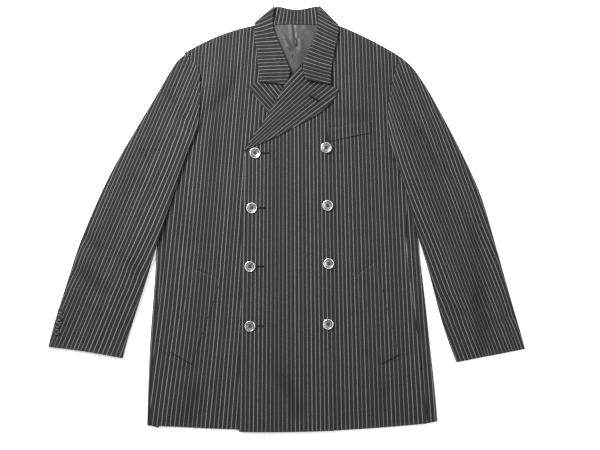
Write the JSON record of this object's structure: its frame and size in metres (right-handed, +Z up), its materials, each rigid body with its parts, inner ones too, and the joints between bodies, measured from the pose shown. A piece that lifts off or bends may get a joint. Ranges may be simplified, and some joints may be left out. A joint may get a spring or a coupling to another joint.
{
  "type": "double-breasted pinstripe jacket",
  "caption": "Double-breasted tailored jacket in charcoal pinstripe wool with peak lapels, breast welt and slanted hip welts, buttoned and laid flat with its front up.",
  "frame": {"origin": "on the surface the jacket lies on, under the middle of its outline", "axes": "+X to the viewer's right across the sleeves, +Y from the hem to the collar, +Z up out of the front"},
  "size_m": [0.9568, 0.854, 0.0238],
  "materials": {
    "pinstripe_wool": "charcoal worsted wool with fine grey pinstripes, matt with a faint nap",
    "lining": "mid-grey lining with a soft satin sheen",
    "front_button": "glossy smoke-grey polyester, dished, with a raised rim",
    "cuff_button": "mid-grey smoky polyester with a soft shine"
  },
  "bodies": {
    "root": {"back": "pinstripe_wool", "breast_welt": "pinstripe_wool", "collar_back": "pinstripe_wool", "collar_left": "pinstripe_wool", "collar_right": "pinstripe_wool", "front_over": "pinstripe_wool", "front_under": "pinstripe_wool", "hip_welt_left": "pinstripe_wool", "hip_welt_right": "pinstripe_wool", "lapel_over": "pinstripe_wool", "lapel_under": "pinstripe_wool", "side_panel_left": "pinstripe_wool", "side_panel_right": "pinstripe_wool", "sleeve_left_top": "pinstripe_wool", "sleeve_left_under": "pinstripe_wool", "sleeve_right_top": "pinstripe_wool", "sleeve_right_under": "pinstripe_wool", "back_neck_lining": "lining", "front_button_left_1": "front_button", "front_button_left_2": "front_button", "front_button_left_3": "front_button", "front_button_left_4": "front_button", "front_button_right_1": "front_button", "front_button_right_2": "front_button", "front_button_right_3": "front_button", "front_button_right_4": "front_button", "cuff_button_1": "cuff_button", "cuff_button_2": "cuff_button", "cuff_button_3": "cuff_button", "cuff_button_4": "cuff_button"}
  },
  "joints": []
}
